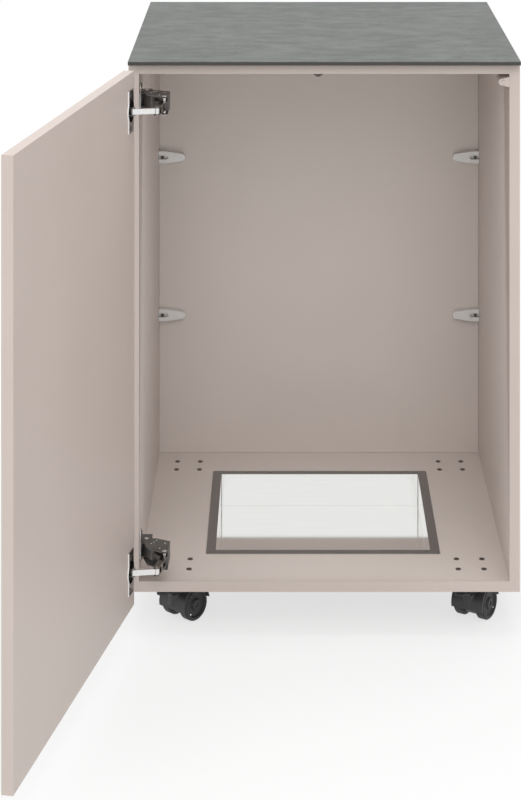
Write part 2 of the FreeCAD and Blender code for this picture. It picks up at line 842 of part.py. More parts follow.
def castor_fork(braked):
    """Hood over both wheels, web between them and the neck that turns on the kingpin."""
    bay_radius = s.wheel_radius + s.hood_gap
    hood_radius = bay_radius + s.hood_wall
    hood = rod(s.castor_trail, -hood_half, axle_height, hood_radius, hood_half * 2, "y")
    low = axle_height - hood_radius
    behind = box((s.castor_trail, s.castor_trail + hood_radius), (-hood_half, hood_half),
                 (low, axle_height + s.hood_skirt))
    before = box((s.castor_trail - hood_radius, s.castor_trail), (-hood_half, hood_half),
                 (low, s.hood_front_height))
    cover = cut(hood, behind, before)
    web = rod(s.castor_trail, -web_half, axle_height, s.web_radius, web_half * 2, "y")
    neck = rod(0, 0, axle_height, s.neck_radius, neck_top - axle_height)
    solids = [cover, web, neck]
    if braked:
        ear_low = s.brake_pivot_height - s.brake_barrel_radius
        ear_high = s.brake_pivot_height + s.brake_barrel_radius
        ears = box((-s.brake_pivot_reach, 0), (-brake_ear_half, brake_ear_half), (ear_low, ear_high))
        tips = rod(-s.brake_pivot_reach, -brake_ear_half, s.brake_pivot_height, s.brake_barrel_radius,
                   brake_ear_half * 2, "y")
        solids += [ears, tips]
    bay_width = s.wheel_width + s.wheel_side_gap * 2
    bays = []
    for side in (-1, 1):
        middle = s.wheel_track / 2 * side
        bays.append(rod(s.castor_trail, middle - bay_width / 2, axle_height, bay_radius, bay_width, "y"))
    socket = rod(0, 0, race_under - s.kingpin_reach - s.swivel_gap, s.kingpin_radius + s.pin_clearance,
                 s.kingpin_reach + s.swivel_gap)
    bore = rod(s.castor_trail, -web_half, axle_height, s.axle_radius + s.pin_clearance, web_half * 2, "y")
    tools = [*bays, socket, bore]
    if braked:
        gap = s.brake_width / 2
        room = s.brake_barrel_radius + s.layer_gap
        tools.append(rod(-s.brake_pivot_reach, -gap, s.brake_pivot_height, room, s.brake_width, "y"))
        tools.append(rod(-s.brake_pivot_reach, -brake_ear_half, s.brake_pivot_height,
                         s.brake_pin_radius + s.pin_clearance, brake_ear_half * 2, "y"))
    return cut(fuse(*solids), *tools)


def castor_wheel(side):
    """A wheel with a dished outer face, on its axle; side is -1 or 1 across the castor."""
    half = s.wheel_width / 2
    bore = s.axle_radius + s.pin_clearance
    outline = [(-half, bore), (half, bore), (half, s.wheel_hub_radius),
               (half - s.wheel_dish_depth, s.wheel_hub_radius + s.wheel_dish_depth / 2),
               (half - s.wheel_dish_depth, s.wheel_dish_radius),
               (half, s.wheel_dish_radius + s.wheel_dish_depth / 2),
               (half, s.wheel_radius - s.wheel_edge), (half - s.wheel_edge, s.wheel_radius),
               (s.wheel_edge - half, s.wheel_radius), (-half, s.wheel_radius - s.wheel_edge)]
    wheel = turned([(along * side, radius) for along, radius in outline])
    place(wheel, s.castor_trail, s.wheel_track / 2 * side, axle_height)
    return wheel


def castor_axle():
    return rod(s.castor_trail, -axle_half, axle_height, s.axle_radius, axle_half * 2, "y")


def castor_brake():
    """A pedal on a barrel that turns on its own stub pins in the fork's ears."""
    half = s.brake_width / 2 - s.layer_gap
    barrel = rod(-s.brake_pivot_reach, -half, s.brake_pivot_height, s.brake_barrel_radius, half * 2, "y")
    top = s.brake_pivot_height + s.brake_barrel_radius
    toe = half - s.brake_pivot_reach - s.brake_pedal_length
    pedal = box((toe, -s.brake_pivot_reach), (-half, half), (top - s.brake_pedal_thickness, top))
    round_toe = rod(toe, 0, top - s.brake_pedal_thickness, half, s.brake_pedal_thickness)
    pin = rod(-s.brake_pivot_reach, -brake_ear_half, s.brake_pivot_height, s.brake_pin_radius,
              brake_ear_half * 2, "y")
    return fuse(barrel, pedal, round_toe, pin)


for corner, spot in castor_spots.items():
    braked = corner.startswith("front")
    heading = s.castor_front_right_heading if corner == "front_right" else s.castor_heading
    pose = {"at": spot, "turn": heading}
    piece(f"castor_plate_{corner}", [castor_plate()], spot)
    piece(f"castor_fork_{corner}", [castor_fork(braked)], **pose)
    piece(f"castor_axle_{corner}", [castor_axle()], **pose)
    piece(f"castor_wheel_{corner}_inner", [castor_wheel(-1)], **pose)
    piece(f"castor_wheel_{corner}_outer", [castor_wheel(1)], **pose)
    if braked:
        piece(f"castor_brake_{corner}", [castor_brake()], **pose)

# Check every object, then write one file for each piece
doc.recompute()
for obj in doc.Objects:
    if "Invalid" in obj.State or "Error" in obj.State:
        raise RuntimeError(f"{obj.Label} failed: {obj.State}")
for part in pieces:
    if part.Shape.isNull() or not part.Shape.isValid() or not part.Shape.Solids:
        raise RuntimeError(f"{part.Label} has no valid shape")

os.makedirs("parts", exist_ok=True)
for part in pieces:
    part.Shape.exportStep(f"parts/{part.Label}.step")
    print(part.Label, len(part.Shape.Solids), "solids", round(part.Shape.Volume / 1000, 2), "cm3")
print(len(pieces), "pieces")
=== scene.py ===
# %% [markdown]
# # An outdoor kitchen cabinet on castors
# The cabinet is a taupe box with a thin stone-look top, and its door stands open. Its pieces come from a
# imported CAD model, which is loaded first and never moved. This lesson gives each piece its edges, its
# finish and its small hardware, and it lights and frames the whole.

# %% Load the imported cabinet
import json
import math

import bpy
from mathutils import Matrix, Vector


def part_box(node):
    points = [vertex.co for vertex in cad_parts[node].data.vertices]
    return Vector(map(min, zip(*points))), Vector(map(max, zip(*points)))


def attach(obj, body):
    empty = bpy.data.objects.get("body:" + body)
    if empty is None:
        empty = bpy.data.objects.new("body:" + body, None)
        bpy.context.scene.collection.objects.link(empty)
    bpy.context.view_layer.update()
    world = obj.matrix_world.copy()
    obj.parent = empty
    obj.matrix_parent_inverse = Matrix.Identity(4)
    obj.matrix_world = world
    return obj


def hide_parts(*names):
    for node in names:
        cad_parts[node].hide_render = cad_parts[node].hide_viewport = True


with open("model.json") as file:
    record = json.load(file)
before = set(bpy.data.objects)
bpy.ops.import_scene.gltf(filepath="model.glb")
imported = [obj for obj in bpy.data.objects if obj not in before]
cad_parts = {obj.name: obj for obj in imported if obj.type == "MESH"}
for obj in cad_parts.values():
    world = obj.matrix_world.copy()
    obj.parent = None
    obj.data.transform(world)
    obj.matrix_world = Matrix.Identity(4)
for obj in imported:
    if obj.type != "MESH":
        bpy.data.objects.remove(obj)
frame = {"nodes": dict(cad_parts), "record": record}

MM = 0.001
scene = bpy.context.scene
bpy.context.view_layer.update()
behaviour = frame["record"]["behaviour"]
BODY_OF = {node: body for body, nodes in behaviour["bodies"].items() for node in nodes}
SLOT_OF = {part["node"]: part["material_slot"] for part in frame["record"]["subparts"]}
PIVOT = {joint["name"]: Vector(joint["pos_m"]) for joint in behaviour["joints"] if "pos_m" in joint}

# %% [markdown]
# ## The camera
# The photograph looks down into the cabinet, yet its upright edges stay parallel, as with a view camera
# whose film stays upright while the lens looks down. A large lens shift would give that too, but it would
# follow the camera into every other view. So the camera hangs from a stand whose parent matrix leans: the
# picture keeps X level and Z upright, and only the line of sight slopes down to the middle of the
# picture.

# %% Place the camera
FRAME_WIDTH = 521
FRAME_HEIGHT = 800
FOCAL_PIXELS = 2316
VANISHING_PIXEL = Vector((285, -350))
EYE_OFFSET = Vector((-60.1, -3550)) * MM
EYE_HEIGHT = 1513.8 * MM
slab_low, slab_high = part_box("worktop_slab")
cabinet_x = (slab_low.x + slab_high.x) / 2
front_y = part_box("right_side_panel")[0].y
eye = Vector((cabinet_x + EYE_OFFSET.x, front_y + EYE_OFFSET.y, EYE_HEIGHT))
middle = Vector((FRAME_WIDTH / 2, FRAME_HEIGHT / 2))
off_axis = (middle - VANISHING_PIXEL) / FOCAL_PIXELS
sight = Vector((off_axis.x, 1, -off_axis.y))
level = Vector((1, 0, 0))
upright = Vector((0, 0, 1))
lean = Matrix((level, upright, -sight.normalized())).transposed().to_4x4()
lean.translation = eye

lens = bpy.data.cameras.new("photo_camera")
lens.lens = FOCAL_PIXELS * sight.length / FRAME_HEIGHT * lens.sensor_width
camera = bpy.data.objects.new("photo_camera", lens)
stand = bpy.data.objects.new("camera_stand", None)
for item in (camera, stand):
    scene.collection.objects.link(item)
camera.parent = stand
camera.matrix_parent_inverse = lean
scene.camera = camera
print("lens", round(lens.lens, 1), "mm, eye at", tuple(round(c, 3) for c in eye))

# %% [markdown]
# ## Light
# A cabinet that is photographed from the front is dark inside unless it gets light of its own. So two
# soft boxes stand high in front, one hangs overhead, and two dim panels fill the inside, as a
# photographer does with a lamp hidden behind the front edge. One panel, in the plane of the opening,
# faces the back wall. The other, under the top board, throws a narrow beam on the floor. Spot lamps would
# draw hard shadows of the hinges, which the photograph doesn't have. No lamp shows in the polished metal:
# it mirrors the white surround instead.


# %% Light the set
def soft_box(name, place, target, width, height, power, tint=(1, 1, 1), spread=180):
    """A flat area lamp at a place, turned to a target, with a beam as wide as its spread in degrees."""
    data = bpy.data.lights.new(name, "AREA")
    data.shape = "RECTANGLE"
    data.size = width
    data.size_y = height
    data.energy = power
    data.color = tint
    data.spread = math.radians(spread)
    lamp = bpy.data.objects.new(name, data)
    lamp.location = place
    lamp.rotation_euler = (target - place).to_track_quat("-Z", "Y").to_euler()
    lamp.visible_camera = False
    lamp.visible_glossy = False
    scene.collection.objects.link(lamp)


def set_place(across, back, height):
    """A place in metres from where the middle of the cabinet's front meets the floor."""
    return Vector((cabinet_x + across, front_y + back, height))


OPENING_TINT = (0.86, 1.0, 1.04)
CEILING_TINT = (0.92, 1.0, 1.03)
scene.view_settings.view_transform = "Standard"
inside = set_place(0, 0.3, 0.5)
low_back = set_place(0, 1.04, 0.35)
floor_middle = set_place(0, 0.40, 0)
soft_box("key_soft_box", set_place(0.2, -3.6, 3.0), inside, width=2.4, height=2.4, power=48)
soft_box("left_soft_box", set_place(-1.5, -2.6, 2.6), inside, width=2.0, height=2.0, power=11)
soft_box("top_soft_box", set_place(0, 0.1, 3.6), inside, width=2.4, height=2.4, power=42)
soft_box("opening_panel", set_place(0, 0.04, 0.475), low_back,
         width=0.54, height=0.74, power=0.86, tint=OPENING_TINT)
soft_box("ceiling_panel", set_place(0, 0.40, 0.85), floor_middle,
         width=0.46, height=0.34, power=0.22, tint=CEILING_TINT, spread=70)
print(len(bpy.data.lights), "lamps")

# %% [markdown]
# ## Shader arithmetic
# A material is easier to read as a sum than as a web of nodes. One small class wraps a number socket, so
# that adding or scaling two of them makes the Math node that does it. A second class holds one material,
# and its one method makes every other kind of node.


# %% Define a number socket
class Value:
    """A number socket that takes part in Python arithmetic."""

    def __init__(self, finish, socket):
        self.finish = finish
        self.socket = socket

    def combine(self, operation, first, second):
        math_node = self.finish.node("ShaderNodeMath", {"operation": operation}, {0: first, 1: second})
        return Value(self.finish, math_node.outputs[0])

    def __add__(self, other):
        return self.combine("ADD", self, other)

    def __sub__(self, other):
        return self.combine("SUBTRACT", self, other)

    def __rsub__(self, other):
        return self.combine("SUBTRACT", other, self)

    def __mul__(self, other):
        return self.combine("MULTIPLY", self, other)

    def above(self, limit):
        """1 where the number is above a limit, and 0 elsewhere."""
        return self.combine("GREATER_THAN", self, limit)

    def either(self, other):
        """The larger of two numbers, which joins two masks."""
        return self.combine("MAXIMUM", self, other)

    __radd__ = __add__
    __rmul__ = __mul__


print("number sockets ready")


# %% Define a finish
class Finish:
    """A material or a world, built node by node."""

    def __init__(self, block):
        self.block = block
        block.use_nodes = True
        self.tree = block.node_tree
        self.shader = self.tree.nodes.get("Principled BSDF")
        self.place = self.node("ShaderNodeTexCoord").outputs["Object"]

    def feed(self, socket, value):
        """Link a socket to a value that varies, or set it to one that doesn't."""
        if isinstance(value, Value):
            value = value.socket
        if isinstance(value, bpy.types.NodeSocket):
            self.tree.links.new(value, socket)
        else:
            socket.default_value = value

    def node(self, kind, settings=None, sockets=None):
        """A node of a kind, with its settings made first and its sockets fed after."""
        made = self.tree.nodes.new(kind)
        for name, value in (settings or {}).items():
            setattr(made, name, value)
        for name, value in (sockets or {}).items():
            self.feed(made.inputs[name], value)
        return made

    def noise(self, scale, detail=3.0, roughness=0.5, stretch=(1, 1, 1)):
        """Noise from 0 to 1 at a scale in cycles per metre, drawn out by a stretch."""
        mapping = self.node("ShaderNodeMapping", {}, {"Vector": self.place, "Scale": stretch})
        sockets = {"Vector": mapping.outputs[0], "Scale": scale, "Detail": detail, "Roughness": roughness}
        return Value(self, self.node("ShaderNodeTexNoise", {}, sockets).outputs[0])

    def along(self, axis):
        """The place along an axis, in metres."""
        return Value(self, self.node("ShaderNodeSeparateXYZ", {}, {0: self.place}).outputs[axis])

    def ramp(self, value, low, high):
        """A value spread from 0 at low to 1 at high."""
        sockets = {"Value": value, "From Min": low, "From Max": high}
        return Value(self, self.node("ShaderNodeMapRange", {}, sockets).outputs[0])

    def mix(self, factor, first, second):
        """A colour between two colours."""
        made = self.node("ShaderNodeMix", {"data_type": "RGBA"}, {0: factor})
        self.feed(made.inputs[6], first)
        self.feed(made.inputs[7], second)
        return made.outputs[2]

    def bump(self, height, strength, distance):
        """A normal that follows a height."""
        sockets = {"Height": height, "Strength": strength, "Distance": distance}
        return self.node("ShaderNodeBump", {}, sockets).outputs[0]

    def seen_directly(self):
        """1 for rays from the camera, a mirror or glass, and 0 for the rays that only carry light."""
        rays = self.node("ShaderNodeLightPath").outputs
        kinds = [Value(self, rays[f"Is {kind} Ray"]) for kind in ("Camera", "Glossy", "Transmission")]
        return sum(kinds[1:], kinds[0])

    def set(self, **inputs):
        """Feed the shader's own sockets, and give the finished material back."""
        for name, value in inputs.items():
            self.feed(self.shader.inputs[name.replace("_", " ").title()], value)
        return self.block


def new_finish(name):
    return Finish(bpy.data.materials.new(name))


def tone(red, green, blue):
    return (red, green, blue, 1)


print("finishes ready")

# %% [markdown]
# ## Sky and floor
# The photograph has a white surround. More light would wash out the cabinet, so the white is only what
# the camera, and the bright metal, see: the sky is white to them and a softer grey to the light itself.
# The pale floor fades into the same white further out, and near the cabinet it keeps the shadow.

# %% Make the sky
AMBIENT = 0.82
scene.world = bpy.data.worlds.new("studio")
sky = Finish(scene.world)
soft_sky = sky.node("ShaderNodeBackground", {}, {"Color": tone(1, 1, 1), "Strength": AMBIENT})
white_sky = sky.node("ShaderNodeBackground", {}, {"Color": tone(1, 1, 1), "Strength": 1.0})
sky_parts = {0: sky.seen_directly(), 1: soft_sky.outputs[0], 2: white_sky.outputs[0]}
sky_mix = sky.node("ShaderNodeMixShader", {}, sky_parts)
sky.feed(sky.tree.nodes["World Output"].inputs["Surface"], sky_mix.outputs[0])
print("sky", AMBIENT)

# %% Make the floor
FLOOR_SIZE = 60
SHADOW_REACH = 0.4
WHITE_REACH = 1.0
SHADOW_VEIL = 0.68


def studio_floor():
    finish = new_finish("pale_studio_floor")
    patch = finish.noise(scale=0.6, detail=2)
    colour = finish.mix(patch, tone(0.80, 0.80, 0.80), tone(0.82, 0.82, 0.82))
    finish.set(base_color=colour, roughness=0.9)
    away = finish.node("ShaderNodeVectorMath", {"operation": "LENGTH"}, {0: finish.place})
    fade = finish.ramp(Value(finish, away.outputs["Value"]), SHADOW_REACH, WHITE_REACH)
    veil = finish.seen_directly() * (SHADOW_VEIL + fade * (1 - SHADOW_VEIL))
    glow = finish.node("ShaderNodeEmission", {}, {"Strength": 1.0})
    floor_parts = {0: veil, 1: finish.shader.outputs[0], 2: glow.outputs[0]}
    blend = finish.node("ShaderNodeMixShader", {}, floor_parts)
    finish.feed(finish.tree.nodes["Material Output"].inputs["Surface"], blend.outputs[0])
    return finish.block


bpy.ops.object.select_all(action="DESELECT")
bpy.ops.mesh.primitive_plane_add(size=FLOOR_SIZE, location=(0, 0, 0))
floor = bpy.context.object
floor.name = "studio_floor"
floor.data.materials.append(studio_floor())
print("floor", FLOOR_SIZE, "m wide")

# %% [markdown]
# ## Coated boards
# The carcass and the door are chipboard with a taupe coat. Such a coat isn't flat colour: it has a pebble
# of about half a millimetre, which softens its gloss, and slow clouds that the eye reads as a large
# sheet. A bump from noise is enough for that, because the pebble is too fine to show in an outline.

# %% Make the board finish
FINE_GRAIN = 0.2 * MM


def coated_board():
    finish = new_finish("taupe_coated_board")
    cloud = finish.ramp(finish.noise(scale=4, detail=4), 0.3, 0.7)
    pebble = finish.noise(scale=1400, detail=2)
    colour = finish.mix(cloud, tone(0.525, 0.452, 0.414), tone(0.550, 0.476, 0.437))
    fleck = finish.ramp(pebble, 0.62, 0.8) * 0.2
    flecked = finish.mix(fleck, colour, tone(0.47, 0.40, 0.36))
    normal = finish.bump(pebble, strength=0.08, distance=FINE_GRAIN)
    return finish.set(base_color=flecked, roughness=0.42 + cloud * 0.07, normal=normal)


FINISHES = {"board": coated_board()}
print(list(FINISHES))

# %% [markdown]
# ## Stone-look slab
# The worktop is a compact board: a printed stone face, under a millimetre thick, over a dark core that
# shows all round the edge. Clouds, short streaks and fine specks of noise make the stone, and the height
# above the floor tells the face from the core, so one material does both.

# %% Make the slab finish
FACE_THICKNESS = 0.8 * MM
STONE_RELIEF = 0.4 * MM


def stone_slab():
    finish = new_finish("stone_face_dark_core")
    cloud = finish.noise(scale=9, detail=5, roughness=0.6)
    streak = finish.noise(scale=48, detail=6, roughness=0.72, stretch=(0.45, 1, 1))
    speck = finish.noise(scale=420, detail=3, roughness=0.6, stretch=(0.5, 1, 1))
    blotch = finish.ramp(cloud * 0.25 + streak * 0.75, 0.42, 0.58)
    stone = finish.mix(blotch, tone(0.062, 0.068, 0.063), tone(0.146, 0.153, 0.146))
    pale_speck = finish.ramp(speck, 0.42, 0.72) * 0.4
    speckled = finish.mix(pale_speck, stone, tone(0.17, 0.176, 0.168))
    core = finish.mix(speck, tone(0.038, 0.036, 0.032), tone(0.056, 0.052, 0.046))
    face = finish.along("Z").above(slab_high.z - FACE_THICKNESS)
    colour = finish.mix(face, core, speckled)
    normal = finish.bump(streak + speck * 0.4, strength=0.2, distance=STONE_RELIEF)
    return finish.set(base_color=colour, roughness=0.52 + blotch * 0.12, normal=normal)


FINISHES["slab"] = stone_slab()
print("slab finish")

# %% [markdown]
# ## Plated, cast and moulded hardware
# The hinge plates and bars are bright nickel, the cranks smoked spring steel and the screws burnished.
# The wedges in the corners are cast zinc, and the castor hoods and the latch are moulded plastic. They
# differ in colour and gloss, but on each of them one fine grain varies both, and on a cast or moulded
# face it can be felt as well. Each could be built node by node. One recipe for that grain is shorter, and
# it sets the numbers of the finishes side by side. Metal takes its look from what it mirrors, so its two
# colours stay close and the roughness does the work. A black that is truly black looks like a hole, so
# the hoods stay a little above it.


# %% Make the grained finishes
def grained(name, scale, detail, dark, light, roughness, haze, metallic=0.0, relief=0.0):
    """A finish whose colour and roughness, and its relief if it has any, follow one fine grain."""
    finish = new_finish(name)
    grain = finish.noise(scale, detail)
    if relief:
        finish.set(normal=finish.bump(grain, relief, FINE_GRAIN))
    colour = finish.mix(grain, dark, light)
    return finish.set(base_color=colour, metallic=metallic, roughness=roughness + grain * haze)


FINISHES["bright_metal"] = grained(
    "nickel_plate", scale=180, detail=3, dark=tone(0.70, 0.70, 0.69), light=tone(0.89, 0.89, 0.88),
    metallic=1.0, roughness=0.10, haze=0.12)
FINISHES["dark_screw"] = grained(
    "burnished_screw", scale=700, detail=2, dark=tone(0.085, 0.068, 0.060), light=tone(0.17, 0.142, 0.125),
    metallic=0.6, roughness=0.36, haze=0.2)
FINISHES["castor_metal"] = grained(
    "zinc_plate", scale=300, detail=4, dark=tone(0.45, 0.45, 0.44), light=tone(0.68, 0.68, 0.67),
    metallic=1.0, roughness=0.25, haze=0.2)
FINISHES["castor_plastic"] = grained(
    "black_moulded_plastic", scale=1500, detail=2, dark=tone(0.024, 0.024, 0.026),
    light=tone(0.042, 0.042, 0.044), roughness=0.34, haze=0.16, relief=0.1)
FINISHES["catch_plastic"] = grained(
    "beige_moulded_plastic", scale=1200, detail=2, dark=tone(0.54, 0.47, 0.43),
    light=tone(0.58, 0.51, 0.47), roughness=0.34, haze=0.1, relief=0.05)
OWN_FINISHES = {
    "hinge_cranks": grained(
        "smoked_spring_steel", scale=220, detail=3, dark=tone(0.16, 0.155, 0.15),
        light=tone(0.30, 0.29, 0.28), metallic=1.0, roughness=0.16, haze=0.14),
    "corner_connectors": grained(
        "die_cast_zinc", scale=500, detail=3, dark=tone(0.60, 0.58, 0.56), light=tone(0.72, 0.70, 0.68),
        metallic=0.5, roughness=0.38, haze=0.14, relief=0.15),
}
print(len(FINISHES), "slot finishes and", len(OWN_FINISHES), "for single pieces")

# %% [markdown]
# ## Dark castings and dusty wheels
# The hinge casings are dark castings, a little paler where they are worn, and the wheels are a dull black
# with a little dust. Wear and dust lie in patches that have nothing to do with the grain, so a second,
# slower noise chooses the colour, and the fine one keeps the gloss broken.

# %% Make the casting and wheel finishes
CAST_GRAIN = 0.3 * MM


def dark_casting():
    finish = new_finish("dark_grey_casting")
    grain = finish.noise(scale=900, detail=3)
    wear = finish.ramp(finish.noise(scale=70, detail=4), 0.45, 0.75)
    colour = finish.mix(wear, tone(0.085, 0.080, 0.075), tone(0.125, 0.118, 0.112))
    normal = finish.bump(grain, strength=0.12, distance=CAST_GRAIN)
    return finish.set(base_color=colour, metallic=0.4, roughness=0.3 + grain * 0.14, normal=normal)


def dusty_wheel():
    finish = new_finish("black_wheel")
    grain = finish.noise(scale=900, detail=3)
    dust = finish.ramp(finish.noise(scale=60, detail=4), 0.5, 0.8) * 0.5
    colour = finish.mix(dust, tone(0.018, 0.018, 0.019), tone(0.045, 0.044, 0.043))
    normal = finish.bump(grain, strength=0.1, distance=FINE_GRAIN)
    return finish.set(base_color=colour, roughness=0.42 + grain * 0.2, normal=normal)


FINISHES["dark_cast"] = dark_casting()
FINISHES["castor_tread"] = dusty_wheel()
print("casting and wheel finishes")

# %% [markdown]
# ## Hinge cups with a painted highlight on the edge
# The plate of a hinge cup is smoked on its face, and a highlight is painted along its outer edge. A mirror
# would only show the taupe door there, so the painted highlight is pale and not metallic, and the place
# along Y tells it from the face.

# %% Make the cup finish
CUP_EDGE_OFFSET = 13.4 * MM
cup_low, cup_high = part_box("hinge_cups")
cup_edge_y = (cup_low.y + cup_high.y) / 2 - CUP_EDGE_OFFSET


def cup_plate():
    finish = new_finish("smoked_plate_with_painted_highlight")
    haze = finish.noise(scale=180, detail=3)
    face = finish.mix(haze, tone(0.20, 0.19, 0.185), tone(0.38, 0.37, 0.36))
    # Painted highlight: a pale, non-metallic line along the outer edge stands in for a bright reflection.
    edge = finish.mix(haze, tone(0.90, 0.90, 0.90), tone(0.98, 0.98, 0.98))
    behind_painted_highlight = finish.along("Y").above(cup_edge_y)
    colour = finish.mix(behind_painted_highlight, edge, face)
    return finish.set(base_color=colour, metallic=behind_painted_highlight, roughness=0.14 + haze * 0.12)


OWN_FINISHES["hinge_cups"] = cup_plate()
print("cup edge at", round(cup_edge_y, 4))

# %% [markdown]
# ## Tray steel
# The tray in the floor is folded sheet steel: polished in its well, and satin on its flange and outside.
# Two materials would need the faces sorted by hand. The box of the tray says as much, so masks from the
# place of a point pick the satin parts, and the brushing is one noise drawn out along X.

# %% Make the tray finish
HALF_SHEET = 0.5 * MM
WALL_INSET = 14.5 * MM


def tray_steel():
    finish = new_finish("brushed_and_polished_steel")
    brushed = finish.noise(scale=500, detail=4, roughness=0.6, stretch=(0.02, 1, 1))
    low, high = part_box("bottle_tray")
    flange = finish.along("Z").above(high.z - HALF_SHEET)
    outside = 1 - finish.along("Z").above(low.z + HALF_SHEET)
    for axis, start, end in zip("XY", low, high):
        place = finish.along(axis)
        past_walls = place.above(end - WALL_INSET) + (1 - place.above(start + WALL_INSET))
        outside = outside.either(past_walls)
    satin = outside.either(flange)
    well = finish.mix(brushed, tone(0.85, 0.85, 0.84), tone(0.93, 0.93, 0.92))
    rim = finish.mix(brushed, tone(0.25, 0.25, 0.25), tone(0.34, 0.34, 0.34))
    colour = finish.mix(satin, well, rim)
    normal = finish.bump(brushed * satin, strength=0.06, distance=FINE_GRAIN)
    roughness = 0.06 + brushed * 0.04 + satin * 0.26
    return finish.set(base_color=colour, metallic=1.0, roughness=roughness, normal=normal)


FINISHES["tray_steel"] = tray_steel()
print(len(FINISHES), "slot finishes")

# %% [markdown]
# ## Edges that catch the light
# A real board or casting has no razor edge. Each CAD piece is copied, its loose triangles are joined, and
# its sharp edges get a fine bevel, so that a thin line of light runs along them. A bevel with smooth
# shading would bend the light on the big flat faces too, so weighted normals keep those flat.

# %% Define how a CAD piece is dressed
MERGE_GAP = 0.005 * MM
FLAT_ANGLE = math.radians(0.5)
SHARP_ANGLE = math.radians(40)
SMOOTH_ANGLE = math.radians(50)
FLAT_FACE_WEIGHT = 90


def solo(piece):
    """Select one piece alone and make it the active one."""
    bpy.ops.object.select_all(action="DESELECT")
    piece.select_set(True)
    bpy.context.view_layer.objects.active = piece


def apply_modifier(piece, name, kind, **settings):
    modifier = piece.modifiers.new(name, kind)
    for key, value in settings.items():
        setattr(modifier, key, value)
    solo(piece)
    bpy.ops.object.modifier_apply(modifier=modifier.name)


def soften(piece, edge, segments):
    """Bevel the sharp edges of a piece and shade it smooth, with its flat faces kept flat."""
    apply_modifier(piece, "soft_edges", "BEVEL", width=edge, segments=segments, limit_method="ANGLE",
                   angle_limit=SHARP_ANGLE)
    bpy.ops.object.shade_smooth_by_angle(angle=SMOOTH_ANGLE)
    apply_modifier(piece, "flat_faces", "WEIGHTED_NORMAL", keep_sharp=True, weight=FLAT_FACE_WEIGHT)


def dress(node, edge, segments=2, recesses=None):
    """A copy of a CAD node with fine bevelled edges, which takes the node's place."""
    piece = bpy.data.objects.new(f"{node}_dressed", frame["nodes"][node].data.copy())
    scene.collection.objects.link(piece)
    solo(piece)
    bpy.ops.object.mode_set(mode="EDIT")
    bpy.ops.mesh.select_all(action="SELECT")
    bpy.ops.mesh.remove_doubles(threshold=MERGE_GAP)
    bpy.ops.mesh.dissolve_limited(angle_limit=FLAT_ANGLE)
    bpy.ops.object.mode_set(mode="OBJECT")
    if recesses:
        apply_modifier(piece, "recesses", "BOOLEAN", operation="DIFFERENCE", solver="EXACT",
                       object=recesses)
        bpy.data.objects.remove(recesses)
    soften(piece, edge, segments)
    piece.data.materials.clear()
    piece.data.materials.append(OWN_FINISHES.get(node, FINISHES[SLOT_OF[node]]))
    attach(piece, BODY_OF[node])
    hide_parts(node)


print(len(SLOT_OF), "CAD pieces to dress")

# %% [markdown]
# ## Boards, slab, latch and tray
# A sawn and coated board has the broadest edge of the flat pieces, the slab a finer one, and the tray's
# sheet hardly any. The latch housing is a moulding, so its edge is rounder and takes one segment more.

# %% Dress the boards, the slab, the latch and the tray
BOARD_EDGE = 0.8 * MM
SLAB_EDGE = 0.5 * MM
HOUSING_EDGE = 1.2 * MM
PLUNGER_EDGE = 0.4 * MM
SHEET_EDGE = 0.3 * MM
boards = [node for node, slot in SLOT_OF.items() if slot == "board"]
for node in boards:
    dress(node, BOARD_EDGE)
dress("worktop_slab", SLAB_EDGE)
dress("catch_housing", HOUSING_EDGE, segments=3)
dress("catch_plunger", PLUNGER_EDGE)
dress("bottle_tray", SHEET_EDGE)
print(len(boards), "boards, slab, latch and tray dressed")

# %% [markdown]
# ## Hinges, connectors and castors
# These are small castings, stampings and mouldings, so their edges are rounder for their size than a
# board's. The steps are the same, only with a bevel that suits each piece.

# %% Dress the hardware
STAMPED_EDGE = 0.35 * MM
PIN_EDGE = 0.4 * MM
MOULDED_EDGE = 0.5 * MM
NUT_EDGE = 0.3 * MM
for node in ("hinge_rockers", "hinge_bars", "hinge_plates", "hinge_arms", "hinge_cranks", "hinge_cups"):
    dress(node, STAMPED_EDGE)
for node in ("hinge_plate_pins", "hinge_rocker_pins", "hinge_cup_pins"):
    dress(node, PIN_EDGE, segments=3)
dress("corner_connectors", MOULDED_EDGE)
castor_nodes = [node for node in SLOT_OF if node.startswith("castor_") and node != "castor_bolts"]
for node in castor_nodes:
    dress(node, NUT_EDGE if node == "castor_nuts" else MOULDED_EDGE)
print("hinges, connectors and", len(castor_nodes), "castor pieces dressed")

# %% [markdown]
# ## Cross-head screws
# The bolts of the castors and the screws of the connectors have a cross recess. It could be painted, but
# then it would catch no light at a low angle. So a cross is modelled from a three-by-three grid without
# its corners, extruded down, copied to each head, and cut out with a Boolean modifier.

# %% Define a cross cutter
CUTTER_PROUD = 0.2 * MM
GRID_CELLS = 3


def pick_faces(piece, test):
    """Go into edit mode with only those faces selected that pass a test."""
    solo(piece)
    bpy.ops.object.mode_set(mode="EDIT")
    bpy.ops.mesh.select_mode(type="FACE")
    bpy.ops.mesh.select_all(action="DESELECT")
    bpy.ops.object.mode_set(mode="OBJECT")
    for face in piece.data.polygons:
        face.select = test(face)
    bpy.ops.object.mode_set(mode="EDIT")


